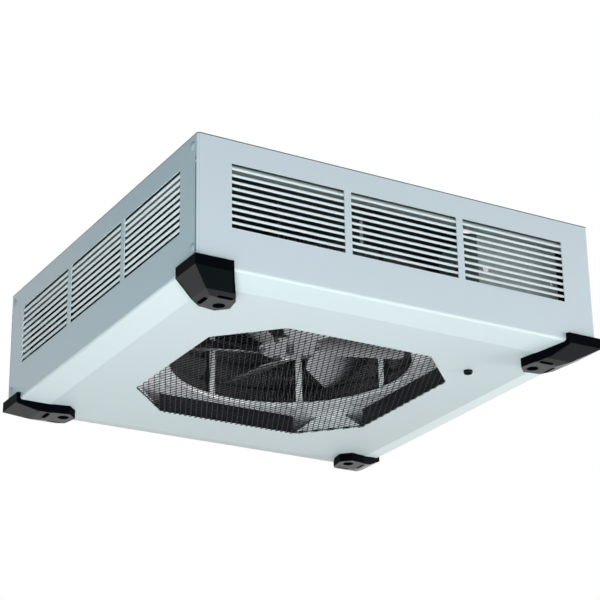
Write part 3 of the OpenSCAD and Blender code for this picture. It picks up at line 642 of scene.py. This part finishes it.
def make_shade_sheet(name, across_x):
    """Thin upright sheet behind a side's louvres, with rounded upright stiffening beads.

    The sheet's distance from the middle is a constant less a bell curve at each bead. The dark
    sheet is painted shade behind the louvres.
    """
    along = np.linspace(-SHADE_SHEET_HALF, SHADE_SHEET_HALF, 141)
    height = np.linspace(*SHADE_SHEET_Z, 3)
    from_bead = (along + BEAD_PITCH / 2) % BEAD_PITCH - BEAD_PITCH / 2
    depth = SHADE_SHEET_DEPTH - BEAD_DEPTH * np.exp(-((from_bead / BEAD_WIDTH) ** 2))
    a, z = np.meshgrid(along, height, indexing="ij")
    d = np.repeat(depth[:, None], len(height), axis=1)
    sides = (d, a, z) if across_x else (a, d, z)
    points = np.stack(sides, axis=-1).reshape(-1, 3)
    i, j = np.meshgrid(np.arange(len(along) - 1), np.arange(len(height) - 1), indexing="ij")
    corner = (i * len(height) + j).reshape(-1)
    step = len(height)
    faces = np.stack([corner, corner + 1, corner + step + 1, corner + step], axis=1)
    if across_x:
        faces = faces[:, ::-1]
    # A dark sheet where there is only shade: painted shade behind the louvres
    dark_sheet = make_piece(name, points, faces, SHADE_SHEET_BLACK)
    wall = dark_sheet.modifiers.new("wall", "SOLIDIFY")
    wall.thickness = SHADE_SHEET_WALL
    wall.offset = 0.0


make_shade_sheet("louvre_shade_sheet_back", across_x=False)
make_shade_sheet("louvre_shade_sheet_right", across_x=True)


# ---- black bush in the adjuster hole ----
BUSH_SIDES = 32
BUSH_SECTION = (
    (3.2, -136.6), (3.2, -140.4), (3.5, -141.2), (3.9, -141.5),
    (4.3, -141.2), (4.6, -140.4), (4.6, -136.6),
)


def make_bush():
    """Short round bush: a wall's section, as radius and height in mm, turned round Z."""
    section = np.array(BUSH_SECTION) * MM
    turn = np.linspace(0, 2 * math.pi, BUSH_SIDES, endpoint=False)[:, None]
    radius, height = section[None, :, 0], section[None, :, 1]
    ring = [
        ADJUSTER[0] + radius * np.cos(turn),
        ADJUSTER[1] + radius * np.sin(turn),
        height + 0 * turn,
    ]
    points = np.stack(ring, axis=-1).reshape(-1, 3)
    size = len(section)
    i, j = np.meshgrid(np.arange(BUSH_SIDES), np.arange(size), indexing="ij")
    near, far = i * size, (i + 1) % BUSH_SIDES * size
    after = (j + 1) % size
    faces = np.stack([near + j, near + after, far + after, far + j], axis=-1).reshape(-1, 4)
    make_piece("adjuster_bush", points, faces, BUSH_BLACK, smooth=True)


make_bush()


# ---- stage ----
FLOOR_REACH = 9.0
FLOOR_Z = -2.4
FLOOR_GLOW = 0.8
# Radii and darkness of the painted shadow pool on the floor
SHADOW_POOL = (1.08, 2.32)
SHADOW_POOL_DARK = 0.1


def make_floor():
    """Pale floor well under the heater. What gloss sees of it is dark straight below."""
    mesh = bpy.data.meshes.new("floor")
    sides = ((-1, -1), (1, -1), (1, 1), (-1, 1))
    corners = [(x * FLOOR_REACH, y * FLOOR_REACH, FLOOR_Z) for x, y in sides]
    mesh.from_pydata(corners, [], [(0, 1, 2, 3)])
    floor = bpy.data.objects.new("floor", mesh)
    bpy.context.scene.collection.objects.link(floor)
    finish = Finish("floor_white", (0.85, 0.85, 0.85), 0.9)
    path = finish.tree.nodes.new("ShaderNodeLightPath")
    mirrored = Flow(finish, path.outputs["Is Glossy Ray"])
    through = Flow(finish, path.outputs["Is Transmission Ray"])
    seen = Flow(finish, path.outputs["Is Camera Ray"]) * FLOOR_GLOW
    away = finish.node(
        "ShaderNodeVectorMath",
        {"operation": "DISTANCE"},
        {0: finish.place(), 1: (0.0, 0.0, FLOOR_Z)},
        output="Value",
    )
    # Painted shadow: what gloss sees of the floor is darker straight below the heater
    glow = finish.larger(away.step(*SHADOW_POOL) * (1 - SHADOW_POOL_DARK) + SHADOW_POOL_DARK, seen)
    light = finish.node("ShaderNodeEmission", None, {"Strength": glow})
    mix = finish.tree.nodes.new("ShaderNodeMixShader")
    finish.tree.links.new((mirrored + through + seen).socket, mix.inputs[0])
    finish.tree.links.new(finish.shader.outputs[0], mix.inputs[1])
    finish.tree.links.new(light.socket, mix.inputs[2])
    output = finish.tree.nodes["Material Output"]
    finish.tree.links.new(mix.outputs[0], output.inputs["Surface"])
    mesh.materials.append(finish.material)


def make_world(ambient):
    """Even grey light for the object, and white where a ray sees the background."""
    world = bpy.data.worlds.new("world")
    bpy.context.scene.world = world
    world.use_nodes = True
    tree = world.node_tree
    path = tree.nodes.new("ShaderNodeLightPath")
    seen = tree.nodes.new("ShaderNodeMath")
    seen.operation = "MAXIMUM"
    tree.links.new(path.outputs["Is Camera Ray"], seen.inputs[0])
    either = tree.nodes.new("ShaderNodeMath")
    either.operation = "MAXIMUM"
    tree.links.new(path.outputs["Is Glossy Ray"], either.inputs[0])
    tree.links.new(path.outputs["Is Transmission Ray"], either.inputs[1])
    tree.links.new(either.outputs[0], seen.inputs[1])
    dim = tree.nodes["Background"]
    dim.inputs["Color"].default_value = (0.93, 0.97, 1.0, 1.0)
    dim.inputs["Strength"].default_value = ambient
    white = tree.nodes.new("ShaderNodeBackground")
    white.inputs["Color"].default_value = (1, 1, 1, 1)
    white.inputs["Strength"].default_value = 1.0
    mix = tree.nodes.new("ShaderNodeMixShader")
    tree.links.new(seen.outputs[0], mix.inputs[0])
    tree.links.new(dim.outputs[0], mix.inputs[1])
    tree.links.new(white.outputs[0], mix.inputs[2])
    tree.links.new(mix.outputs[0], tree.nodes["World Output"].inputs["Surface"])


def make_lamp(name, place, target, size, power, colour=(1.0, 1.0, 1.0), mirrored=True):
    """Square soft lamp that faces a point; no view shows it, and gloss may mirror it or not."""
    data = bpy.data.lights.new(name, "AREA")
    data.shape = "SQUARE"
    data.size = size
    data.energy = power
    data.color = colour
    lamp = bpy.data.objects.new(name, data)
    lamp.location = place
    lamp.visible_camera = False
    lamp.visible_glossy = mirrored
    ahead = Vector(target) - Vector(place)
    lamp.rotation_euler = ahead.to_track_quat("-Z", "Y").to_euler()
    bpy.context.scene.collection.objects.link(lamp)


CENTRE = (0, 0, -0.1)
PALE_CYAN = (0.9, 1.0, 1.0)

make_floor()
make_world(0.05)
make_lamp("key_lamp", (-0.75, -1.85, -0.95), CENTRE, 0.8, 17.5)
make_lamp("front_right_lamp", (2.1, -1.1, -0.45), CENTRE, 1.0, 45)
make_lamp("left_lamp", (-1.5, -1.1, -0.4), CENTRE, 0.8, 2.5, (0.1, 0.8, 1.0))
make_lamp("low_left_lamp", (-0.75, -0.55, -1.15), CENTRE, 0.8, 6, PALE_CYAN, mirrored=False)
make_lamp("low_lamp", (-0.6, -0.7, -1.2), CENTRE, 1.2, 5.6, mirrored=False)
make_lamp("top_lamp", (0.4, 0.6, 2.2), (0, 0, 0), 2.0, 12)
make_lamp("right_lamp", (2.2, 0.6, 0.4), (0, 0, -0.08), 1.6, 12)
make_lamp("back_lamp", (-0.5, 2.3, 0.3), (0, 0, -0.08), 1.6, 12)

bpy.context.scene.view_settings.view_transform = "Standard"
